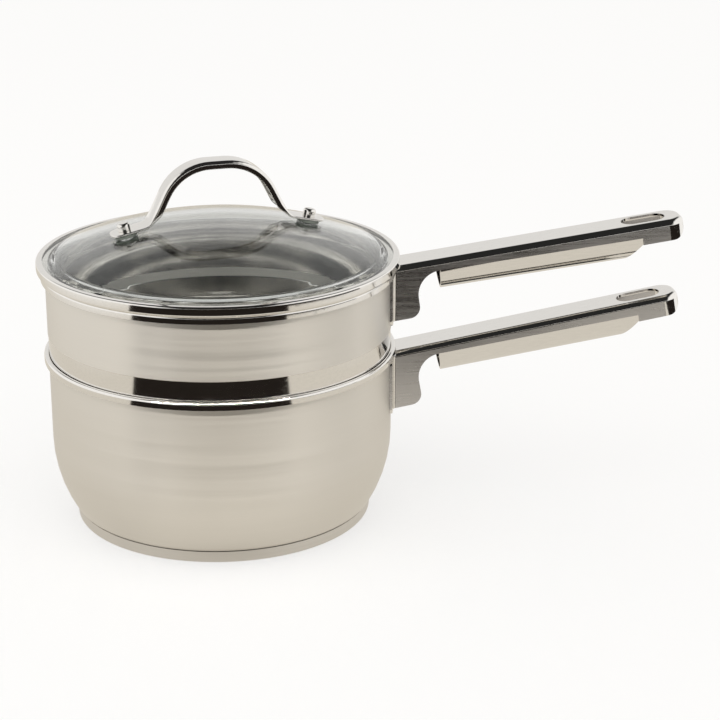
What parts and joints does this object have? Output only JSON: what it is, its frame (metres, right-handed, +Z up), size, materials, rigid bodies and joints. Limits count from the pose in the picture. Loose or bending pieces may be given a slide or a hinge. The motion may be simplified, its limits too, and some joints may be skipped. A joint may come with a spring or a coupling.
{
  "type": "double boiler",
  "caption": "Double boiler: a bellied steel saucepan, a stepped steel insert that hangs in its mouth, and a domed glass lid, with hollow folded handles.",
  "frame": {"origin": "on the vessels' axis at the underside of the base, where the pan stands", "axes": "+X along both handles away from the vessels, +Z up along the vessels' axis"},
  "size_m": [0.3423, 0.19, 0.1922],
  "materials": {
    "vessel_steel": "brushed round the walls, polished at the lips and the insert's lower band",
    "base_steel": "satin",
    "core_aluminium": "plain rolled sheet, hidden",
    "handle_steel": "mirror polished",
    "band_steel": "mirror polished",
    "lid_handle_steel": "mirror polished",
    "fixing_steel": "bright machined",
    "lid_silicone": "matt translucent grey-green",
    "lid_glass": "clear tempered"
  },
  "bodies": {
    "saucepan": {"saucepan_shell": "vessel_steel", "base_core_disc": "core_aluminium", "base_cap": "base_steel", "saucepan_handle": "handle_steel"},
    "insert": {"insert_shell": "vessel_steel", "insert_handle": "handle_steel"},
    "lid": {"lid_glass": "lid_glass", "lid_rim_band": "band_steel", "lid_handle": "lid_handle_steel", "left_cap_nut": "fixing_steel", "left_lid_screw": "fixing_steel", "left_upper_seal": "lid_silicone", "left_lower_seal": "lid_silicone", "left_washer": "fixing_steel", "right_cap_nut": "fixing_steel", "right_lid_screw": "fixing_steel", "right_upper_seal": "lid_silicone", "right_lower_seal": "lid_silicone", "right_washer": "fixing_steel"}
  },
  "joints": [
    {"name": "insert_lift", "type": "slide", "parent": "saucepan", "child": "insert", "axis": [0, 0, 1], "range_m": [0, 0.08]},
    {"name": "lid_lift", "type": "slide", "parent": "insert", "child": "lid", "axis": [0, 0, 1], "range_m": [0, 0.06]}
  ]
}
